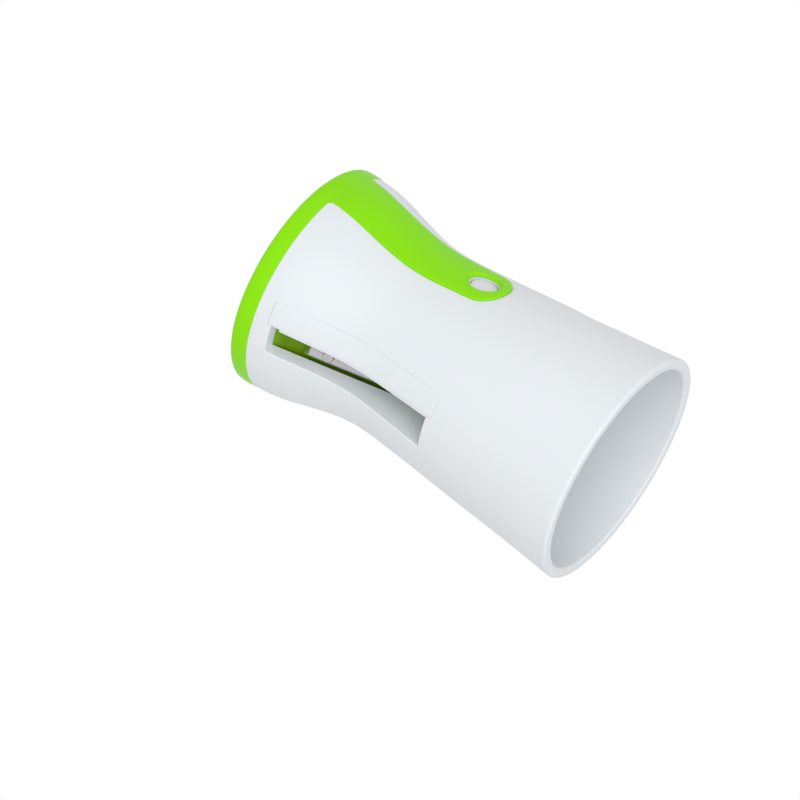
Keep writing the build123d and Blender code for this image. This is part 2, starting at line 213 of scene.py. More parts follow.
# --- Shader helpers --------------------------------------------------------------------------
class Value:
    """A shader socket that takes part in Python arithmetic, one Math node for each operation."""

    def __init__(self, tree, socket):
        self.tree = tree
        self.socket = socket

    def _math(self, operation, first, second):
        node = self.tree.nodes.new("ShaderNodeMath")
        node.operation = operation
        for slot, term in zip(node.inputs, (first, second)):
            if isinstance(term, Value):
                self.tree.links.new(term.socket, slot)
            else:
                slot.default_value = term
        return Value(self.tree, node.outputs[0])

    def __add__(self, other):
        return self._math("ADD", self, other)

    def __radd__(self, other):
        return self._math("ADD", other, self)

    def __sub__(self, other):
        return self._math("SUBTRACT", self, other)

    def __rsub__(self, other):
        return self._math("SUBTRACT", other, self)

    def __mul__(self, other):
        return self._math("MULTIPLY", self, other)

    def __rmul__(self, other):
        return self._math("MULTIPLY", other, self)


class Finish:
    """A new material with its Principled shader, and one method for every other node."""

    def __init__(self, name, **constants):
        self.material = bpy.data.materials.new(name)
        self.material.use_nodes = True
        self.tree = self.material.node_tree
        self.shader = self.tree.nodes["Principled BSDF"]
        for socket, value in constants.items():
            self.shader.inputs[socket.replace("_", " ")].default_value = value

    def node(self, kind, settings=None, output=0, **sockets):
        """Adds a node: its settings first, then the values or links of its sockets."""
        made = self.tree.nodes.new(kind)
        for name, value in (settings or {}).items():
            setattr(made, name, value)
        for name, value in sockets.items():
            socket = made.inputs[name.replace("_", " ")]
            if isinstance(value, Value):
                self.tree.links.new(value.socket, socket)
            else:
                socket.default_value = value
        return Value(self.tree, made.outputs[output])

    def coordinates(self, scale=(1, 1, 1)):
        """Object coordinates, stretched."""
        place = self.node("ShaderNodeTexCoord", output="Object")
        return self.node("ShaderNodeMapping", Vector=place, Scale=scale)

    def noise(self, place, scale, detail=2.0, roughness=0.5):
        """Noise from 0 to 1."""
        return self.node(
            "ShaderNodeTexNoise", Vector=place, Scale=scale, Detail=detail, Roughness=roughness
        )

    def ramp(self, value, low, high):
        """0 below low, 1 above high, and a soft step between."""
        settings = {"interpolation_type": "SMOOTHSTEP"}
        return self.node(
            "ShaderNodeMapRange", settings, Value=value, From_Min=low, From_Max=high
        )

    def mix(self, share, low, high):
        """Colour between two colours."""
        made = self.tree.nodes.new("ShaderNodeMix")
        made.data_type = "RGBA"
        for index, value in ((0, share), (6, low), (7, high)):
            if isinstance(value, Value):
                self.tree.links.new(value.socket, made.inputs[index])
            else:
                made.inputs[index].default_value = value
        return Value(self.tree, made.outputs[2])

    def feed(self, **sockets):
        """Links values to the shader's own sockets."""
        for name, value in sockets.items():
            self.tree.links.new(value.socket, self.shader.inputs[name.replace("_", " ")])

    def bump(self, height, depth, strength=1.0):
        """Normal from a height in metres times depth."""
        self.feed(
            Normal=self.node("ShaderNodeBump", Height=height, Distance=depth, Strength=strength)
        )


def shade(colour, factor):
    """A colour times a factor, with full alpha."""
    return tuple(channel * factor for channel in colour) + (1.0,)


# Where the outside of the funnel's cone is painted darker, as shade from the housing
PAINTED_SHADE_SKIN = (-0.0012, -0.0006)  # depth in the cone's wall over which the painted shade sets in
PAINTED_SHADE_FADE_Z = (0.109, 0.117)  # heights between which it fades out towards the ring


def moulded_plastic(name, colour, gloss, shine, painted_shade=None):
    """Moulded plastic: faint flow clouding, a fine spark-eroded grain and uneven sheen.

    The optional second colour is painted shade: a darker colour on the outside of the funnel's
    cone, in streaks, standing in for the shade inside the housing.
    """
    finish = Finish(name, IOR=1.5, Specular_IOR_Level=shine)
    place = finish.coordinates()
    clouds = finish.noise(place, 28.0, 3.0)
    grain = finish.noise(place, 2600.0, 1.0)
    smears = finish.noise(finish.coordinates((1, 1, 0.35)), 90.0, 2.0)
    base = finish.mix(clouds, shade(colour, 0.975), shade(colour, 1.02))
    if painted_shade:
        radius = finish.node(
            "ShaderNodeVectorMath",
            {"operation": "LENGTH"},
            output="Value",
            Vector=finish.coordinates((1, 1, 0)),
        )
        height = finish.node("ShaderNodeSeparateXYZ", output="Z", Vector=place)
        # painted shade: the outside of the cone, below the ring, is mixed towards the darker colour
        outside = radius - (height - MOUTH_Z * MM) * CONE_SLOPE - CONE_MOUTH_R * MM
        painted_shade_mask = finish.ramp(outside, *PAINTED_SHADE_SKIN) * (1 - finish.ramp(height, *PAINTED_SHADE_FADE_Z))
        painted_shade_mask = painted_shade_mask * (0.86 + smears * 0.22)
        base = finish.mix(painted_shade_mask, base, shade(painted_shade, 1.0))
    finish.feed(
        Base_Color=base,
        Roughness=gloss + (smears - 0.5) * 0.08 + (grain - 0.5) * 0.05,
    )
    finish.bump(grain * 0.6 + clouds * 4.0, 0.00002, 0.35)
    return finish.material


def ground_steel(name, colour, along, gloss):
    """Ground steel, with fine scratches along one direction of the slicer's frame."""
    finish = Finish(name, Metallic=1.0, IOR=2.5)
    turn = Vector((0, 0, 1)).rotation_difference(Vector(along)).inverted().to_euler()
    turned = finish.node(
        "ShaderNodeMapping",
        Vector=finish.node("ShaderNodeTexCoord", output="Object"),
        Rotation=turn,
    )
    stretched = finish.node("ShaderNodeMapping", Vector=turned, Scale=(1, 1, 0.012))
    scratches = finish.noise(stretched, 9000.0, 2.0)
    stains = finish.noise(turned, 160.0, 3.0)
    finish.feed(
        Base_Color=finish.mix(stains, shade(colour, 0.9), shade(colour, 1.08)),
        Roughness=gloss + (scratches - 0.5) * 0.22 + (stains - 0.5) * 0.08,
    )
    finish.bump(scratches, 0.000012, 0.6)
    return finish.material


def turned_steel(name, colour, gloss):
    """Turned and passivated steel of small screws."""
    finish = Finish(name, Metallic=1.0, IOR=2.5)
    place = finish.coordinates()
    turning = finish.noise(place, 5200.0, 1.0)
    stains = finish.noise(place, 420.0, 3.0)
    finish.feed(
        Base_Color=finish.mix(stains, shade(colour, 0.85), shade(colour, 1.1)),
        Roughness=gloss + (turning - 0.5) * 0.12 + (stains - 0.5) * 0.1,
    )
    finish.bump(turning, 0.00001, 0.5)
    return finish.material


def finish_for(slot, colours):
    """The finish of one of the record's slots, made the first time it is asked for."""
    name = slot + "_finish"
    if name in bpy.data.materials:
        return bpy.data.materials[name]
    if slot == "white_plastic":
        return moulded_plastic(name, colours.housing_white, 0.38, 0.4)
    if slot == "green_plastic":
        return moulded_plastic(name, colours.lime_green, 0.36, 0.11)
    if slot == "funnel_plastic":
        # the funnel's outside carries painted shade in a darker green
        return moulded_plastic(name, colours.lime_green, 0.4, 0.15, colours.painted_shade_green)
    if slot == "button_plastic":
        return moulded_plastic(name, colours.button_white, 0.34, 0.4)
    if slot == "spring_steel":
        return ground_steel(name, colours.spring_steel, (0, 0, 1), 0.34)
    if slot == "blade_steel":
        return ground_steel(name, colours.blade_steel, blade_axes()[1], 0.3)
    return turned_steel(name, colours.screw_steel, 0.32)


# --- Form helpers ----------------------------------------------------------------------------
def smooth_profile(points, slopes):
    """Radius at every height: a cubic curve through points, with its slopes at both ends."""
    z = [point[0] for point in points]
    r = [point[1] for point in points]
    last = len(points) - 1
    rows = np.zeros((last + 1, last + 1))
    sums = np.zeros(last + 1)
    rows[0, 0] = rows[last, last] = 1.0
    sums[0], sums[last] = slopes
    for n in range(1, last):
        below, above = z[n] - z[n - 1], z[n + 1] - z[n]
        rows[n, n - 1 : n + 2] = 1 / below, 2 / below + 2 / above, 1 / above
        sums[n] = 3 * ((r[n] - r[n - 1]) / below**2 + (r[n + 1] - r[n]) / above**2)
    slope = np.linalg.solve(rows, sums)

    def radius(height):
        n = max(0, min(bisect(z, height) - 1, last - 1))
        step = z[n + 1] - z[n]
        t = (height - z[n]) / step
        start = (1 + 2 * t) * (1 - t) ** 2 * r[n] + t * (1 - t) ** 2 * step * slope[n]
        return start + t * t * (3 - 2 * t) * r[n + 1] + t * t * (t - 1) * step * slope[n + 1]

    return radius


def lifted(point):
    """A point of the skin, moved out by what the tongue stands proud at its height."""
    z, r = point
    return z, r + TONGUE_STAND * min(1, (MOUTH_Z - z) / (MOUTH_Z - WAIST_Z))


skin_r = smooth_profile(SKIN, SKIN_LEANS)
tongue_r = smooth_profile([lifted(point) for point in SKIN], SKIN_LEANS)


def on_skin(heading, u, v, radius):
    """The place at a radius and height, u to the side of a heading seen from outside."""
    outwards = Vector((math.cos(heading), math.sin(heading), 0))
    sideways = Vector((-math.sin(heading), math.cos(heading), 0))
    return outwards * math.sqrt(radius**2 - u**2) + sideways * u + Vector((0, 0, v))


def arc(centre, radii, start, end, steps):
    """Points on an arc from start to end, in degrees, both included."""
    turns = [math.radians(start + (end - start) * n / steps) for n in range(steps + 1)]
    return [
        Vector((centre[0] + radii[0] * math.cos(a), centre[1] + radii[1] * math.sin(a)))
        for a in turns
    ]


def circle(centre, radii, steps):
    """Closed loop, clockwise, as a hole is."""
    return arc(centre, radii, 360, 0, steps)[:-1]


def divided(points, step):
    """A line with points added so that no run is longer than a step."""
    made = []
    for here, after in zip(points, points[1:]):
        count = max(1, math.ceil((after - here).length / step))
        made += [here.lerp(after, n / count) for n in range(count)]
    return made + [points[-1]]


def rounded_box(low, high, corners, step):
    """Counter-clockwise rectangle, with a radius for each corner from the lowest on."""
    (u0, v0), (u1, v1) = low, high
    loop = []
    for n, (u, v, inward) in enumerate(
        ((u0, v0, (1, 1)), (u1, v0, (-1, 1)), (u1, v1, (-1, -1)), (u0, v1, (1, -1)))
    ):
        r = corners[n]
        if r:
            centre = (u + inward[0] * r, v + inward[1] * r)
            loop += arc(centre, (r, r), 180 + 90 * n, 270 + 90 * n, 8)
        else:
            loop.append(Vector((u, v)))
    return divided(loop + loop[:1], step)[:-1]


def inset(loop, distance):
    """A closed loop moved to its left by a distance."""
    moved = []
    for before, here, after in zip(loop[-1:] + loop[:-1], loop, loop[1:] + loop[:1]):
        first, second = (here - before).normalized(), (after - here).normalized()
        left = Vector((-first.y, first.x))
        middle = (left + Vector((-second.y, second.x))).normalized()
        moved.append(here + middle * distance / max(0.4, middle.dot(left)))
    return moved


def within(loop, places):
    """Which places lie inside a closed loop."""
    start = np.array([tuple(p) for p in loop])
    end = np.roll(start, -1, axis=0)
    u, v = np.array([tuple(p) for p in places]).T[:, :, None]
    crossed = (start[:, 1] > v) != (end[:, 1] > v)
    rise = np.where(crossed, end[:, 1] - start[:, 1], 1.0)
    reach = start[:, 0] + (v - start[:, 1]) * (end[:, 0] - start[:, 0]) / rise
    return (crossed & (u < reach)).sum(axis=1) % 2 == 1


class Plate:
    """A closed plate over a flat outline, whose two sides are laid on any two surfaces."""

    def __init__(self, outline, holes=()):
        self.outline = outline
        self.holes = list(holes)
        self.points, self.sinks, self.edges = [], [], []

    def loop(self, points, sink=0.0):
        """Adds a closed line that edges follow, sunk below the outer side."""
        first, count = len(self.points), len(points)
        self.points += points
        self.sinks += [sink] * count
        self.edges += [(first + n, first + (n + 1) % count) for n in range(count)]

    def rim(self, edge, radius, steps=5, sink=0.0):
        """Rounds an edge: loops that rise from it to the outer side."""
        for n in range(steps + 1):
            turn = math.pi / 2 * n / steps
            sunk = sink + radius * (1 - math.sin(turn))
            self.loop(inset(edge, radius * (1 - math.cos(turn))), sunk)

    def fill(self, step, besides=()):
        """Adds a grid of points wherever the loops leave room, but not inside some loops."""
        near = KDTree(len(self.points))
        for n, point in enumerate(self.points):
            near.insert(point.to_3d(), n)
        near.balance()
        low = [min(p[axis] for p in self.outline) for axis in (0, 1)]
        high = [max(p[axis] for p in self.outline) for axis in (0, 1)]
        counts = [math.ceil((high[axis] - low[axis]) / step) for axis in (0, 1)]
        grid = [
            Vector((low[0] + step * (n + 0.5), low[1] + step * (m + 0.5)))
            for n in range(counts[0])
            for m in range(counts[1])
        ]
        free = within(self.outline, grid)
        for loop in [*self.holes, *besides]:
            free &= ~within(loop, grid)
        for point, wanted in zip(grid, free):
            if wanted and near.find(point.to_3d())[2] > 0.6 * step:
                self.points.append(point)
                self.sinks.append(0.0)

    def close(self, outside, inside):
        """Points and faces: outside(u, v, sink) and inside(u, v) give the two sides."""
        places, _, triangles, origins, _, _ = delaunay_2d_cdt(
            self.points, self.edges, [], 0, 1e-6
        )
        centres = [(places[a] + places[b] + places[c]) / 3 for a, b, c in triangles]
        kept = within(self.outline, centres)
        for hole in self.holes:
            kept &= ~within(hole, centres)
        triangles = [t for t, wanted in zip(triangles, kept) if wanted]
        count = len(places)
        sinks = [self.sinks[origin[0]] if origin else 0.0 for origin in origins]
        points = [outside(p.x, p.y, sink) for p, sink in zip(places, sinks)]
        points += [inside(p.x, p.y) for p in places]
        sides = {pair for t in triangles for pair in zip(t, (*t[1:], t[0]))}
        faces = [tuple(t) for t in triangles]
        faces += [tuple(n + count for n in reversed(t)) for t in triangles]
        faces += [(b, a, a + count, b + count) for a, b in sides if (b, a) not in sides]
        return points, faces


def rounded_line(corners, closed, steps=6):
    """A line of (point, radius) with its corners rounded. The ends of an open line stay."""
    made = []
    count = len(corners)
    for n, (here, radius) in enumerate(corners):
        here = Vector(here)
        if not radius or (not closed and n in (0, count - 1)):
            made.append(here)
            continue
        back = (Vector(corners[n - 1][0]) - here).normalized()
        ahead = (Vector(corners[(n + 1) % count][0]) - here).normalized()
        half = back.angle(ahead) / 2
        centre = here + (back + ahead).normalized() * radius / math.sin(half)
        start = here + back * radius / math.tan(half) - centre
        end = here + ahead * radius / math.tan(half) - centre
        for m in range(steps + 1):
            made.append(centre + start.slerp(end, m / steps) * radius)
    return made


def turned(profile, closed, place, steps=192):
    """A form turned from (radius, height) points. place(x, y, height) puts it where it belongs."""
    count = len(profile)
    points, faces = [], []
    for n in range(steps):
        turn = 2 * math.pi * n / steps
        points += [place(r * math.cos(turn), r * math.sin(turn), h) for r, h in profile]
    for n in range(steps):
        here, after = n * count, (n + 1) % steps * count
        for m in range(count if closed else count - 1):
            k = (m + 1) % count
            faces.append((here + m, after + m, after + k, here + k))
    return points, faces


def joined(*forms):
    """Several forms as one list of points and one of faces."""
    points, faces = [], []
    for form_points, form_faces in forms:
        first = len(points)
        points += form_points
        faces += [tuple(n + first for n in face) for face in form_faces]
    return points, faces


def new_piece(name, form, material, crease=38):
    """A mesh object at the origin, in metres, with its faces turned outwards."""
    points, faces = form
    mesh = bpy.data.meshes.new(name)
    mesh.from_pydata([tuple(Vector(p) * MM) for p in points], [], faces)
    mesh.materials.append(material)
    work = bmesh.new()
    work.from_mesh(mesh)
    bmesh.ops.remove_doubles(work, verts=work.verts, dist=1e-8)
    bmesh.ops.dissolve_degenerate(work, edges=work.edges, dist=1e-9)
    loose = [vertex for vertex in work.verts if not vertex.link_faces]
    bmesh.ops.delete(work, geom=loose, context="VERTS")
    bmesh.ops.recalc_face_normals(work, faces=work.faces)
    for face in work.faces:
        face.smooth = True
    work.to_mesh(mesh)
    work.free()
    mesh.set_sharp_from_angle(angle=math.radians(crease))
    piece = bpy.data.objects.new(name, mesh)
    bpy.context.scene.collection.objects.link(piece)
    return piece


def settle(piece, body, slot, *nodes):
    """Hands a finished piece to its body, in place of CAD nodes."""
    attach(piece, body)
    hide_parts(*nodes)


def dress(names, material):
    """Gives CAD nodes a material."""
    for name in names:
        node = NODES[name]
        node.data.materials.clear()
        node.data.materials.append(material)


def row_tree():
    """Geometry Nodes: copies of a form in a row beside a carrier, as one mesh of one material."""
    tree = bpy.data.node_groups.new("row_of_copies", "GeometryNodeTree")
    kinds = {
        "Carrier": "NodeSocketGeometry",
        "Form": "NodeSocketObject",
        "Count": "NodeSocketInt",
        "First": "NodeSocketVector",
        "Step": "NodeSocketVector",
        "Turn": "NodeSocketVector",
        "Finish": "NodeSocketMaterial",
    }
    for name, kind in kinds.items():
        tree.interface.new_socket(name=name, in_out="INPUT", socket_type=kind)
    tree.interface.new_socket(name="Copies", in_out="OUTPUT", socket_type="NodeSocketGeometry")
    given = tree.nodes.new("NodeGroupInput").outputs
    line = tree.nodes.new("GeometryNodeMeshLine")
    line.mode = "OFFSET"
    form = tree.nodes.new("GeometryNodeObjectInfo")
    turn = tree.nodes.new("FunctionNodeEulerToRotation")
    copies = tree.nodes.new("GeometryNodeInstanceOnPoints")
    join = tree.nodes.new("GeometryNodeJoinGeometry")
    real = tree.nodes.new("GeometryNodeRealizeInstances")
    paint = tree.nodes.new("GeometryNodeSetMaterial")
    result = tree.nodes.new("NodeGroupOutput")
    for source, target in (
        (given["Count"], line.inputs["Count"]),
        (given["First"], line.inputs["Start Location"]),
        (given["Step"], line.inputs["Offset"]),
        (given["Form"], form.inputs["Object"]),
        (given["Turn"], turn.inputs[0]),
        (line.outputs["Mesh"], copies.inputs["Points"]),
        (form.outputs["Geometry"], copies.inputs["Instance"]),
        (turn.outputs[0], copies.inputs["Rotation"]),
        (given["Carrier"], join.inputs["Geometry"]),
        (copies.outputs["Instances"], join.inputs["Geometry"]),
        (join.outputs["Geometry"], real.inputs["Geometry"]),
        (real.outputs["Geometry"], paint.inputs["Geometry"]),
        (given["Finish"], paint.inputs["Material"]),
        (paint.outputs["Geometry"], result.inputs["Copies"]),
    ):
        tree.links.new(source, target)
    return tree


def row_of_copies(name, carrier, form, count, first, step, turn, finish):
    """A plain mesh of a carrier with a row of copies of a form, which are both used up."""
    tree = bpy.data.node_groups.get("row_of_copies") or row_tree()
    modifier = carrier.modifiers.new("copies", "NODES")
    modifier.node_group = tree
    values = {
        "Form": form,
        "Count": count,
        "First": Vector(first) * MM,
        "Step": Vector(step) * MM,
        "Turn": Vector(turn),
        "Finish": finish,
    }
    for socket in tree.interface.items_tree:
        if socket.name in values:
            modifier[socket.identifier] = values[socket.name]
    shown = carrier.evaluated_get(bpy.context.evaluated_depsgraph_get())
    mesh = bpy.data.meshes.new_from_object(shown)
    carrier.modifiers.remove(modifier)
    for used in (carrier, form):
        bpy.data.objects.remove(used)
    mesh.name = name
    piece = bpy.data.objects.new(name, mesh)
    bpy.context.scene.collection.objects.link(piece)
    return piece


# --- White shell -----------------------------------------------------------------------------
COVER_HEADING = math.radians(185)
COVER_FACE = ((0.0, 51.56), (8.54, 113.44))  # low and high corner, beside the heading
COVER_MIDDLE = ((0.0, 53.63), (6.47, 111.97))  # what fills the opening between the ledges
COVER_LIP = ((-1.1, 53.63), (0.9, 109.5))  # the lip along the window
COVER_CORNER_R = 1.3
COVER_THICK = 1.5
LIP_CORNER_R = 0.3
LIP_ROUND = 0.2
LIP_OUTER, LIP_INNER = 0.6, 4.3  # depths of the lip's two sides below the skin


class SLICER_OT_white_shell(Operator):
    """Finish the white housing and make the blade cover with its softened edge"""

    bl_idname = "slicer.white_shell"
    bl_label = "White shell"

    def execute(self, context):
        white = finish_for("white_plastic", context.scene.slicer_colours)
        dress(("housing",), white)
        edge_round = context.scene.slicer_edges.cover_round / MM
        plate = Plate(rounded_box(*COVER_FACE, (0, COVER_CORNER_R, COVER_CORNER_R, 0), 0.9))
        plate.rim(plate.outline, edge_round, 3)
        plate.fill(1.1)
        middle = Plate(rounded_box(*COVER_MIDDLE, (0, 0, 0, 0), 1.2))
        middle.loop(middle.outline)
        middle.fill(1.4)
        lip = Plate(rounded_box(*COVER_LIP, (LIP_CORNER_R, 0, 0, LIP_CORNER_R), 0.9))
        lip.rim(lip.outline, LIP_ROUND, 3)
        lip.fill(0.7)
        layers = (
            (plate, 0.0, COVER_THICK),
            (middle, COVER_THICK - 0.05, WALL),
            (lip, LIP_OUTER, LIP_INNER),
        )
        forms = [
            layer.close(
                lambda u, v, sink, top=top: on_skin(COVER_HEADING, u, v, skin_r(v) - top - sink),
                lambda u, v, low=low: on_skin(COVER_HEADING, u, v, skin_r(v) - low),
            )
            for layer, top, low in layers
        ]
        settle(
            new_piece("soft_blade_cover", joined(*forms), white),
            "housing",
            "white_plastic",
            "blade_cover",
        )
        return {"FINISHED"}


# --- Green insert ----------------------------------------------------------------------------
TONGUE_HEADING = math.radians(-90)
THICK_Z = 70.56  # the tongue fills the housing's notch from here up
THICK_STEP = 0.14  # height over which its back steps there
SEAT_DEPTH = 0.38  # how far the tongue's end is let into the housing
FOOT_STEP = 0.12  # height over which the back steps below the ring
HOLE_R = (4.75, 4.95)  # hole for the button
HOLE_UP = 0.25  # how far its middle lies above the button's axis
HOLE_ROUND = 0.18
DISH_R = (5.7, 6.25)  # mouth of the dish round the hole
DISH_UP = 0.5
DISH_STEPS = 14
DISH_SOFTNESS = 0.6
POCKET_HALF_W = 4.2  # pocket for the catch of the latch spring
POCKET_LOW_Z, POCKET_HIGH_Z = 73.3, 76.6
POCKET_FLOOR = 1.2  # depth of its floor below the skin
POCKET_LEAN = 0.06  # width of its steep walls
BAND_HALF_W = 17.0
BAND_THICK = 1.15
BAND_HIDDEN = 0.012  # how far the band stays below the ring's face
RING_BAND_Z = 120.2  # the tongue's plate reaches this far up inside the ring
RING_BORE_R = 37.65
RING_SEAT_Z = 120.4  # the funnel's flange lies below this height
RING_FOOT_R = 39.35
RING_R = 39.65
RING_MIDDLE_Z = 121.65
RING_TOP_Z = 124.9
RING_BELLY_R = 12.0  # radius of the soft bend in the ring's face
FUNNEL_WALL = 2.0


def tongue_outline():
    """Front outline of the tongue and of the band of the ring that it hangs from."""
    side_z, end_w, root_w, fillet = 62.9, 9.7, 11.7, 2.0
    lean = (root_w - end_w) / (MOUTH_Z - side_z)
    steep = math.hypot(1, lean)
    centre = (root_w - fillet * lean + fillet * steep, MOUTH_Z - fillet)
    touch = (centre[0] - fillet / steep, centre[1] + fillet * lean / steep)
    heights = (side_z, THICK_Z, THICK_Z + THICK_STEP)
    side = [Vector((end_w + (z - side_z) * lean, z)) for z in heights]
    half = arc((0, side_z), (end_w, side_z - TONGUE_END_Z), -90, 0, 30)[:-1]
    half += divided([*side, Vector(touch)], 0.9)[:-1]
    half += arc(centre, (fillet, fillet), 180 - math.degrees(math.atan(lean)), 90, 10)
    half += divided([Vector((p, MOUTH_Z)) for p in (centre[0] + 0.3, BAND_HALF_W)], 0.6)
    half += divided([Vector((BAND_HALF_W, z)) for z in (MOUTH_Z + 0.6, RING_BAND_Z)], 0.6)
    mirrored = [Vector((-p.x, p.y)) for p in reversed(half[1:])]
    top = divided([half[-1], mirrored[0]], 1.2)[1:-1]
    return half + top + mirrored


def tongue_form(edge_round, dish_depth):
    """The tongue with its dished hole for the button and the pocket for the latch."""
    hole = circle((0, BUTTON_Z + HOLE_UP), HOLE_R, 96)
    plate = Plate(tongue_outline(), [hole])
    plate.rim(plate.outline, edge_round, 6)
    # dish: a rounded edge at the hole, then loops out to its oval mouth
    plate.rim(hole, HOLE_ROUND, 4, dish_depth)
    low = inset(hole, HOLE_ROUND)
    mouth = circle((0, BUTTON_Z + DISH_UP), DISH_R, 96)
    for n in range(1, DISH_STEPS + 1):
        t = n / DISH_STEPS
        soft = t - math.sin(2 * math.pi * t) / (2 * math.pi) * DISH_SOFTNESS
        plate.loop([a.lerp(b, t) for a, b in zip(low, mouth)], dish_depth * (1 - soft))
    # mouth and floor of the pocket in the tongue's back
    for inward in (0.0, POCKET_LEAN):
        low_corner = (-POCKET_HALF_W + inward, POCKET_LOW_Z + inward)
        high_corner = (POCKET_HALF_W - inward, POCKET_HIGH_Z - inward)
        plate.loop(rounded_box(low_corner, high_corner, (0, 0, 0, 0), 0.7))
    # rows where the back steps
    for height, reach in (
        (THICK_Z, 9.4),
        (THICK_Z + THICK_STEP, 9.4),
        (MOUTH_Z - FOOT_STEP, 11.2),
        (MOUTH_Z, 11.2),
    ):
        row = divided([Vector((-reach, height)), Vector((reach, height))], 0.7)
        free = ~within(mouth, row)
        clear = [p for p, wanted in zip(row, free) if wanted]
        plate.points += clear
        plate.sinks += [0.0] * len(clear)
    plate.fill(1.0, [mouth])

    def outside(u, v, sink):
        if v <= MOUTH_Z:
            radius = tongue_r(v)
        else:
            lean = (RING_R - RING_FOOT_R) / (RING_MIDDLE_Z - MOUTH_Z)
            radius = RING_FOOT_R + (v - MOUTH_Z) * lean
        hidden = BAND_HIDDEN * max(0.0, min(1.0, v - MOUTH_Z + 1))
        return on_skin(TONGUE_HEADING, u, v, radius - hidden - sink)

    def in_pocket(u, v):
        margin = POCKET_LEAN / 2
        across = abs(u) < POCKET_HALF_W - margin
        return across and POCKET_LOW_Z + margin < v < POCKET_HIGH_Z - margin

    def inside(u, v):
        if v >= MOUTH_Z - 0.001:
            radius = RING_FOOT_R - BAND_THICK
        elif v <= THICK_Z + 0.1:
            radius = skin_r(v) - SEAT_DEPTH
        elif in_pocket(u, v):
            radius = skin_r(v) - POCKET_FLOOR
        else:
            radius = skin_r(v) - WALL
        return on_skin(TONGUE_HEADING, u, v, radius)

    return plate.close(outside, inside)


class SLICER_OT_green_insert(Operator):
    """Make the green ring with its tongue, and finish the funnel"""

    bl_idname = "slicer.green_insert"
    bl_label = "Green insert"

    def execute(self, context):
        colours = context.scene.slicer_colours
        edges = context.scene.slicer_edges
        inner_low = CONE_MOUTH_R + CONE_SLOPE * (RING_SEAT_Z - MOUTH_Z) - FUNNEL_WALL
        inner_high = CONE_MOUTH_R + CONE_SLOPE * (RING_TOP_Z - MOUTH_Z) - FUNNEL_WALL
        edge_round, top_round = edges.tongue_round / MM, edges.ring_round / MM
        profile = rounded_line(
            [
                ((RING_BORE_R, MOUTH_Z), 0),
                ((RING_FOOT_R, MOUTH_Z), edge_round),
                ((RING_R, RING_MIDDLE_Z), RING_BELLY_R),
                ((RING_R, RING_TOP_Z), top_round),
                ((inner_high, RING_TOP_Z), top_round),
                ((inner_low, RING_SEAT_Z), 0.1),
                ((RING_BORE_R, RING_SEAT_Z), 0),
            ],
            closed=True,
        )
        ring = turned(profile, True, lambda x, y, h: Vector((x, y, h)), 256)
        tongue = tongue_form(edge_round, edges.dish_depth / MM)
        green = finish_for("green_plastic", colours)
        settle(
            new_piece("ring_and_tongue", joined(ring, tongue), green),
            "insert",
            "green_plastic",
            "collar",
        )
        dress(("funnel",), finish_for("funnel_plastic", colours))
        return {"FINISHED"}


# --- Button ----------------------------------------------------------------------------------
CAP_R, FLANGE_R, PIP_R = 4.5, 5.8, 1.5
FLANGE_THICK, PIP_LEN = 1.2, 0.6
CROWN_DEPTH = 0.95  # of the cap's middle, below the housing's skin
GUIDE_LEN = 2.8  # of the housing's guide, behind which the flange is held
FLANGE_GAP = 0.05


class SLICER_OT_button(Operator):
    """Turn the release button, with its crowned and rounded cap"""

    bl_idname = "slicer.button"
    bl_label = "Release button"

    def execute(self, context):
        edge_round = context.scene.slicer_edges.button_round / MM
        crown = skin_r(BUTTON_Z) - CROWN_DEPTH
        flange = skin_r(BUTTON_Z) - WALL - GUIDE_LEN - FLANGE_GAP
        back = flange - FLANGE_THICK
        profile = rounded_line(
            [
                ((0, crown), 0),
                ((1.6, crown - 0.05), 4.0),
                ((3.1, crown - 0.19), 4.0),
                ((CAP_R, crown - 0.4), edge_round),
                ((CAP_R, flange), 0.15),
                ((FLANGE_R, flange), 0.2),
                ((FLANGE_R, back), 0.2),
                ((PIP_R, back), 0.15),
                ((PIP_R, back - PIP_LEN), 0.2),
                ((0, back - PIP_LEN), 0),
            ],
            closed=False,
        )
        form = turned(profile, False, lambda x, y, h: Vector((x, -h, BUTTON_Z + y)), 128)
        material = finish_for("button_plastic", context.scene.slicer_colours)
        piece = new_piece("crowned_button", form, material)
        settle(piece, "button", "button_plastic", "release_button")
        return {"FINISHED"}


# --- Blade, comb, clamp and their screws -----------------------------------------------------
BLADE_HEADING = math.radians(190)
BLADE_TILT = math.radians(20)
BLADE_HALF_LEN = 24.5
BLADE_DROP = 17.4  # height from the mouth down to the blade's upper end
BLADE_DEPTH = 2.6  # of the cutting edge, below the outside of the cone
COMB_FRONT, COMB_BACK = 3.4, 10.0  # behind the cutting edge
COMB_LOW, COMB_HIGH = 0.4, 0.9  # above the blade's middle
TOOTH_COUNT, TOOTH_STEP = 9, 5
CLAMP_SCREW_UP, CLAMP_SCREW_BACK = 18, 8.1  # from the middle of the cutting edge
CLAMP_TOP = 2.1
COMB_HOLE_R = 1.05


def blade_axes():
    """The middle of the cutting edge and the blade's axes: up, back and out of its face."""
    height = MOUTH_Z - BLADE_DROP - BLADE_HALF_LEN * math.cos(math.atan(CONE_SLOPE))
    radius = CONE_MOUTH_R + CONE_SLOPE * (height - MOUTH_Z)
    outwards = Vector((math.cos(BLADE_HEADING), math.sin(BLADE_HEADING), 0))
    upwards = (outwards * CONE_SLOPE + Vector((0, 0, 1))).normalized()
    normal = (outwards - Vector((0, 0, CONE_SLOPE))).normalized()
    edge = outwards * radius + Vector((0, 0, height)) - normal * BLADE_DEPTH
    face = normal * math.cos(BLADE_TILT) - normal.cross(upwards) * math.sin(BLADE_TILT)
    return edge, upwards, face.cross(upwards), face


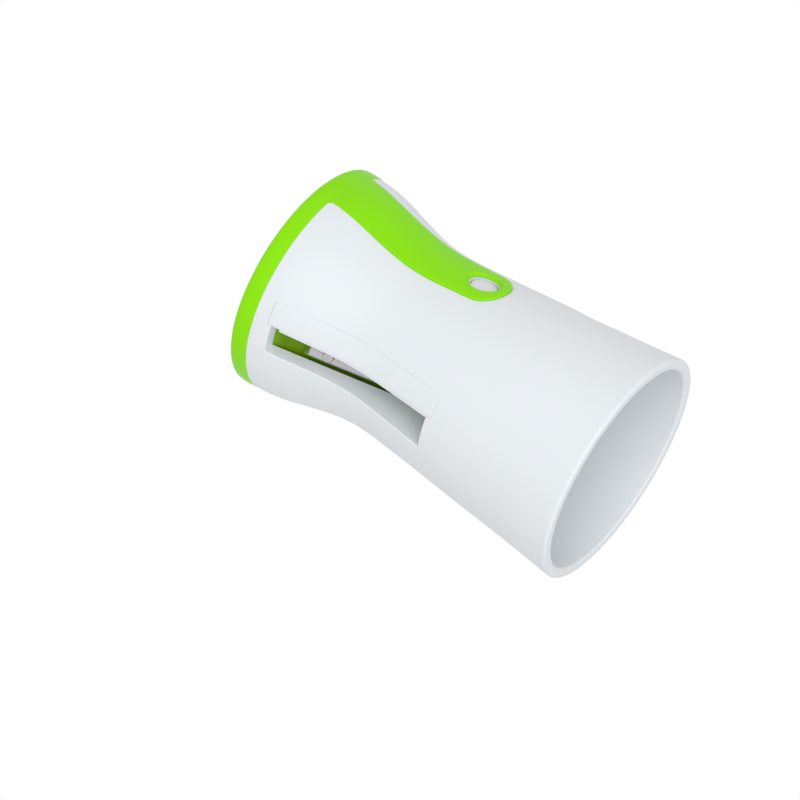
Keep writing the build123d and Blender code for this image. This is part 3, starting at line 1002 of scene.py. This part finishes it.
def screw_form():
    """Pan head screw that stands on its seat at height 0, with a cross recess."""
    head_r, head_h, head_round, dome = 1.8, 1.1, 0.55, 0.03
    shank_r, point_r, shank_end, point_end = 0.95, 0.6, -4.1, -4.4
    recess = 0.5
    plate = Plate(circle((0, 0), (head_r, head_r), 64)[::-1])
    plate.rim(plate.outline, head_round, 7)
    arm, half = 0.9, 0.25
    cross = [
        Vector(p)
        for p in (
            (arm, -half), (arm, half), (half, half), (half, arm), (-half, arm), (-half, half),
            (-arm, half), (-arm, -half), (-half, -half), (-half, -arm), (half, -arm), (half, -half),
        )
    ]
    plate.loop(cross)
    plate.loop(inset(cross, 0.05), recess)
    head = plate.close(
        lambda u, v, sink: Vector((u, v, head_h - dome * (u * u + v * v) - sink)),
        lambda u, v: Vector((u, v, 0)),
    )
    line = ((0, 0.1), (shank_r, 0.1), (shank_r, shank_end), (point_r, point_end), (0, point_end))
    shank = turned(
        [Vector(p) for p in line],
        False,
        lambda x, y, h: Vector((x, y, h)),
        48,
    )
    return joined(head, shank)


def tooth_form():
    """One tooth of the comb: a small wedge, ground to an edge in front."""
    # places as (back, out), from the cutting edge
    front, back = ((COMB_FRONT, COMB_LOW), (4.55, 3.08)), ((5.8, COMB_HIGH), (5.8, COMB_LOW))
    ground = ((4.0, COMB_LOW), (4.85, 2.5))
    line = [*front, ground[1], *back, ground[0]]
    sharp, thick = 0.03, 0.25
    widths = [sharp, sharp, thick, thick, thick, thick]
    _, up, backwards, out = blade_axes()
    points = [
        backwards * b + out * c + up * side * width
        for side in (-1, 1)
        for (b, c), width in zip(line, widths)
    ]
    faces = [(0, 1, 2, 5), (5, 2, 3, 4), (11, 8, 7, 6), (10, 9, 8, 11)]
    faces += [(n, (n + 1) % 6, (n + 1) % 6 + 6, n + 6) for n in range(6)]
    return points, faces


class SLICER_OT_blade_set(Operator):
    """Finish the slicing blade and the clamp, and make the comb and the blade screws"""

    bl_idname = "slicer.blade_set"
    bl_label = "Blade set"

    def execute(self, context):
        colours = context.scene.slicer_colours
        steel = finish_for("blade_steel", colours)
        dress(("slicing_blade", "blade_clamp"), steel)
        edge, up, back, out = blade_axes()
        holes = [
            circle((u, CLAMP_SCREW_BACK), (COMB_HOLE_R, COMB_HOLE_R), 40)
            for u in (-CLAMP_SCREW_UP, CLAMP_SCREW_UP)
        ]
        corners = ((-BLADE_HALF_LEN, COMB_FRONT), (BLADE_HALF_LEN, COMB_BACK))
        strip = Plate(rounded_box(*corners, (0.3, 0.3, 0.3, 0.3), 1.0), holes)
        for rim in (strip.outline, *holes):
            strip.rim(rim, context.scene.slicer_edges.steel_round / MM, 2)
        strip.fill(1.6)
        carrier = new_piece(
            "comb_strip",
            strip.close(
                lambda u, v, sink: edge + up * u + back * v + out * (COMB_HIGH - sink),
                lambda u, v: edge + up * u + back * v + out * COMB_LOW,
            ),
            steel,
        )
        comb = row_of_copies(
            "toothed_comb",
            carrier,
            new_piece("comb_tooth", tooth_form(), steel),
            TOOTH_COUNT,
            edge - up * (TOOTH_STEP * (TOOTH_COUNT - 1) / 2),
            up * TOOTH_STEP,
            (0, 0, 0),
            steel,
        )
        settle(comb, "insert", "blade_steel", "julienne_comb")
        screws = row_of_copies(
            "clamp_screw_pair",
            new_piece("clamp_screw_places", ([], []), steel),
            new_piece("clamp_screw", screw_form(), steel),
            2,
            edge - up * CLAMP_SCREW_UP + back * CLAMP_SCREW_BACK + out * CLAMP_TOP,
            up * (2 * CLAMP_SCREW_UP),
            Matrix((up, back, out)).transposed().to_euler(),
            finish_for("screw_steel", colours),
        )
        settle(screws, "insert", "screw_steel", "blade_screws")
        return {"FINISHED"}


# --- Latch -----------------------------------------------------------------------------------
class SLICER_OT_latch(Operator):
    """Bend the latch spring from its strip and set its two screws"""

    bl_idname = "slicer.latch"
    bl_label = "Latch and screws"

    def execute(self, context):
        colours = context.scene.slicer_colours
        low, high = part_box("latch_spring")
        thick, half_w, hole_r = 0.5, 3.5, 1.2
        foot_z, top_z = low.z / MM, high.z / MM - thick / 2
        leaf_y, tip_y = high.y / MM - thick / 2, low.y / MM
        bend = 0.65
        straight = top_z - bend - foot_z
        turn = math.pi / 2 * bend
        length = straight + turn + leaf_y - bend - tip_y

        def bent(u, v, lift):
            """The place v along the strip, lifted off its middle towards the outside."""
            if v <= straight:
                return Vector((u, leaf_y - lift, foot_z + v))
            if v <= straight + turn:
                angle = (v - straight) / bend
                r = bend - lift
                return Vector(
                    (u, leaf_y - bend + r * math.cos(angle), top_z - bend + r * math.sin(angle))
                )
            return Vector((u, leaf_y - bend - (v - straight - turn), top_z - lift))

        holes = [circle((0, z - foot_z), (hole_r, hole_r), 40) for z in LEAF_SCREWS_Z]
        outline = rounded_box((-half_w, 0), (half_w, length), (1.2, 1.2, 0.5, 0.5), 0.5)
        strip = Plate(outline, holes)
        for rim in (strip.outline, *holes):
            strip.rim(rim, context.scene.slicer_edges.steel_round / MM, 2)
        strip.fill(0.35)
        steel = finish_for("spring_steel", colours)
        leaf = new_piece(
            "bent_latch_leaf",
            strip.close(
                lambda u, v, sink: bent(u, v, thick / 2 - sink), lambda u, v: bent(u, v, -thick / 2)
            ),
            steel,
            30,
        )
        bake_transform(leaf)
        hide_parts("latch_spring")
        screws = row_of_copies(
            "latch_screw_pair",
            new_piece("latch_screw_places", ([], []), steel),
            new_piece("latch_screw", screw_form(), steel),
            2,
            (0, leaf_y + thick / 2, LEAF_SCREWS_Z[0]),
            (0, 0, LEAF_SCREWS_Z[1] - LEAF_SCREWS_Z[0]),
            (math.radians(-90), 0, 0),
            finish_for("screw_steel", colours),
        )
        settle(screws, "housing", "screw_steel", "latch_screws")
        return {"FINISHED"}


# --- Stage -----------------------------------------------------------------------------------
KEY_AT = (0.1, -0.1, 1.0)  # along the camera's right, up and back, from the slicer's middle
TOP_AT = (0.25, -0.35, 1.0)
LOW_AT = (0.35, -0.95)  # towards the camera, and up
KEY_SIZE, FILL_SIZE = 0.9, 0.8
MIRROR_SHARE = 0.6
FLOOR_DROP = 0.2  # below the base, in millimetres


def photo_axes(heading):
    """Camera axes: right, up and back, fitted to the two rims in the photo."""
    towards = Vector((math.cos(heading), math.sin(heading), 0))
    across = Vector((-math.sin(heading), math.cos(heading), 0))
    axis = Vector((0, 0, 1))
    right = -0.29898 * towards + 0.52825 * across - 0.79471 * axis
    up = 0.16607 * towards + 0.84890 * across + 0.50179 * axis
    back = 0.93970 * towards + 0.01805 * across - 0.34153 * axis
    return right, up, back


def aim(obj, place, target):
    """Puts an object at a place and turns its -Z towards a target."""
    obj.location = place
    obj.rotation_euler = (Vector(target) - Vector(place)).to_track_quat("-Z", "Y").to_euler()


def soft_lamp(name, power, size, place, target):
    """Large square area lamp."""
    data = bpy.data.lights.new(name, "AREA")
    data.energy = power
    data.size = size
    lamp = bpy.data.objects.new(name, data)
    bpy.context.scene.collection.objects.link(lamp)
    aim(lamp, place, target)


def studio_world(strength):
    """White for the camera, nearly white for mirror rays, even soft light for the rest."""
    world = bpy.data.worlds.new("studio")
    bpy.context.scene.world = world
    world.use_nodes = True
    tree = world.node_tree
    background = tree.nodes["Background"]
    background.inputs["Color"].default_value = (1, 1, 1, 1)
    rays = tree.nodes.new("ShaderNodeLightPath")
    seen = Value(tree, rays.outputs["Is Camera Ray"])
    clear = Value(tree, rays.outputs["Is Transmission Ray"])
    mirror = Value(tree, rays.outputs["Is Glossy Ray"])
    level = strength + (seen + clear + mirror * MIRROR_SHARE) * (1 - strength)
    tree.links.new(level.socket, background.inputs["Strength"])


def floor_material():
    """Pale matt floor, clear from below and for the rays that light the slicer."""
    finish = Finish("studio_floor", Roughness=0.6, Specular_IOR_Level=0.2)
    grain = finish.noise(finish.coordinates(), 40.0, 3.0)
    finish.feed(
        Base_Color=finish.mix(grain, (0.88, 0.88, 0.89, 1.0), (0.90, 0.90, 0.905, 1.0)),
    )
    tree = finish.tree
    output = tree.nodes["Material Output"]
    clear = tree.nodes.new("ShaderNodeBsdfTransparent")
    chooser = tree.nodes.new("ShaderNodeMixShader")
    geometry = tree.nodes.new("ShaderNodeNewGeometry")
    rays = tree.nodes.new("ShaderNodeLightPath")
    below = Value(tree, geometry.outputs["Backfacing"])
    shadow = Value(tree, rays.outputs["Is Shadow Ray"])
    diffuse = Value(tree, rays.outputs["Is Diffuse Ray"])
    opaque = (1 - below) * (1 - shadow) * (1 - diffuse)
    tree.links.new(opaque.socket, chooser.inputs["Fac"])
    tree.links.new(clear.outputs[0], chooser.inputs[1])
    tree.links.new(finish.shader.outputs[0], chooser.inputs[2])
    tree.links.new(chooser.outputs[0], output.inputs["Surface"])
    return finish.material


class SLICER_OT_stage(Operator):
    """Set up the camera, the lamps, the world and the floor"""

    bl_idname = "slicer.stage"
    bl_label = "Stage"

    def execute(self, context):
        stage = context.scene.slicer_stage
        right, up, back = photo_axes(stage.camera_heading)
        towards = Vector((math.cos(stage.camera_heading), math.sin(stage.camera_heading), 0))
        place = stage.camera_reach * towards - Vector((0, 0, stage.camera_drop))
        data = bpy.data.cameras.new("camera")
        data.lens = stage.lens
        data.sensor_width = 36.0
        camera = bpy.data.objects.new("camera", data)
        context.scene.collection.objects.link(camera)
        turned_axes = Matrix((right, up, back)).transposed().to_4x4()
        camera.matrix_world = Matrix.Translation(place) @ turned_axes
        context.scene.camera = camera

        middle = Vector((0, 0, CAD_BOX[1][2] / 2))
        key_place = middle + KEY_AT[0] * right + KEY_AT[1] * up + KEY_AT[2] * back
        low_place = middle + LOW_AT[0] * towards + Vector((0, 0, LOW_AT[1]))
        soft_lamp("key_lamp", stage.key_power, KEY_SIZE, key_place, middle)
        soft_lamp("top_lamp", stage.top_power, FILL_SIZE, middle + Vector(TOP_AT), middle)
        soft_lamp("low_lamp", stage.low_power, FILL_SIZE, low_place, middle)
        studio_world(stage.world_light)

        half = stage.floor_size / 2 / MM
        signs = ((-1, -1), (1, -1), (1, 1), (-1, 1))
        corners = [Vector((x * half, y * half, -FLOOR_DROP)) for x, y in signs]
        floor = new_piece("studio_floor_plane", (corners, [(0, 1, 2, 3)]), floor_material())
        context.scene.view_settings.view_transform = "Standard"
        return {"FINISHED"}


# --- Add-on ----------------------------------------------------------------------------------
class SLICER_PT_panel(Panel):
    """Lists the slicer's pieces and their settings"""

    bl_idname = "SLICER_PT_panel"
    bl_label = "Slicer"
    bl_space_type = "VIEW_3D"
    bl_region_type = "UI"
    bl_category = "Slicer"

    def draw(self, context):
        scene = context.scene
        for group in (scene.slicer_colours, scene.slicer_edges, scene.slicer_stage):
            box = self.layout.box()
            for name in group.bl_rna.properties.keys():
                if name not in ("rna_type", "name"):
                    box.prop(group, name)
        for step in STEPS:
            self.layout.operator(step.bl_idname)


STEPS = (
    SLICER_OT_stage,
    SLICER_OT_white_shell,
    SLICER_OT_green_insert,
    SLICER_OT_button,
    SLICER_OT_blade_set,
    SLICER_OT_latch,
)
CLASSES = (SlicerColours, SlicerEdges, SlicerStage, *STEPS, SLICER_PT_panel)


def register():
    for cls in CLASSES:
        bpy.utils.register_class(cls)
    bpy.types.Scene.slicer_colours = PointerProperty(type=SlicerColours)
    bpy.types.Scene.slicer_edges = PointerProperty(type=SlicerEdges)
    bpy.types.Scene.slicer_stage = PointerProperty(type=SlicerStage)


def unregister():
    del bpy.types.Scene.slicer_stage
    del bpy.types.Scene.slicer_edges
    del bpy.types.Scene.slicer_colours
    for cls in reversed(CLASSES):
        bpy.utils.unregister_class(cls)


def main():
    register()
    for step in STEPS:
        group, action = step.bl_idname.split(".")
        getattr(getattr(bpy.ops, group), action)()


if __name__ == "__main__":
    main()
